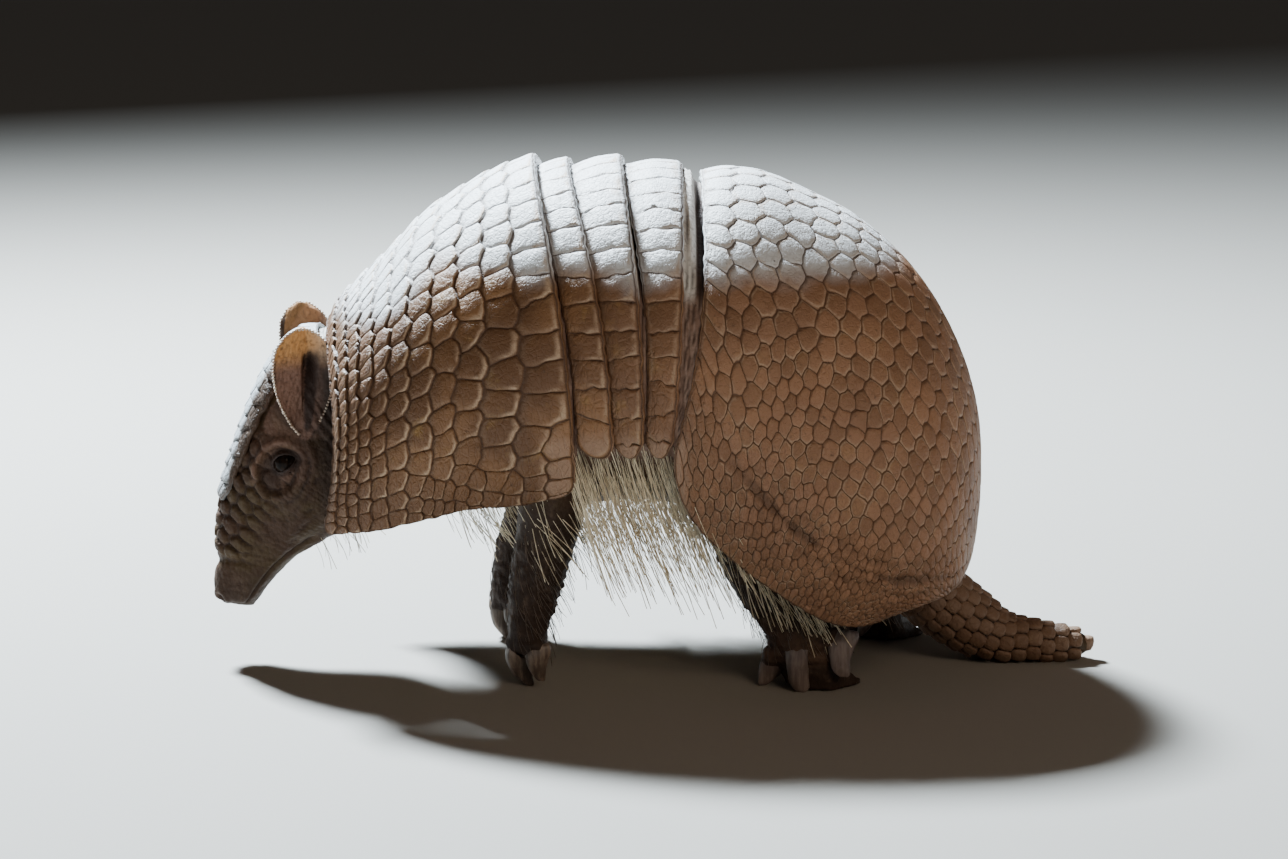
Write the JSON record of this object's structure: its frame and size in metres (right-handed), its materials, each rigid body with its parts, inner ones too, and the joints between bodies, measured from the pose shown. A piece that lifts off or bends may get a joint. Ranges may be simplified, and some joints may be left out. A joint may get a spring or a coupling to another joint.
{
  "type": "three-banded armadillo model",
  "caption": "Life-size still model of an armadillo standing hunched, snout near the floor, with a domed shell of two shields and three bands.",
  "frame": {"origin": "on the floor under the middle of the whole animal", "axes": "head towards -X, tail towards +X, the animal's left side towards -Y, back towards +Z"},
  "size_m": [0.2165, 0.1048, 0.1254],
  "materials": {
    "shell": "satin",
    "skin": "matte",
    "ear": "matte",
    "claw": "satin",
    "hoof": "satin",
    "eye": "gloss",
    "hair": "matte"
  },
  "bodies": {
    "root": {"band_front": "shell", "band_middle": "shell", "band_rear": "shell", "claw_forefoot_left_inner": "claw", "claw_forefoot_left_outer": "claw", "claw_forefoot_left_second": "claw", "claw_forefoot_left_third": "claw", "claw_forefoot_right_inner": "claw", "claw_forefoot_right_outer": "claw", "claw_forefoot_right_second": "claw", "claw_forefoot_right_third": "claw", "claw_hindfoot_left_fourth": "hoof", "claw_hindfoot_left_inner": "hoof", "claw_hindfoot_left_outer": "hoof", "claw_hindfoot_left_second": "hoof", "claw_hindfoot_left_third": "hoof", "claw_hindfoot_right_fourth": "hoof", "claw_hindfoot_right_inner": "hoof", "claw_hindfoot_right_outer": "hoof", "claw_hindfoot_right_second": "hoof", "claw_hindfoot_right_third": "hoof", "ear_left": "ear", "ear_right": "ear", "eye_left": "eye", "eye_right": "eye", "forefoot_left": "skin", "forefoot_right": "skin", "foreleg_left": "skin", "foreleg_right": "skin", "head": "skin", "head_shield": "shell", "hindfoot_left": "skin", "hindfoot_right": "skin", "hindleg_left": "skin", "hindleg_right": "skin", "neck": "skin", "pelvic_shield": "shell", "scapular_shield": "shell", "tail": "skin", "trunk": "skin"}
  },
  "joints": []
}
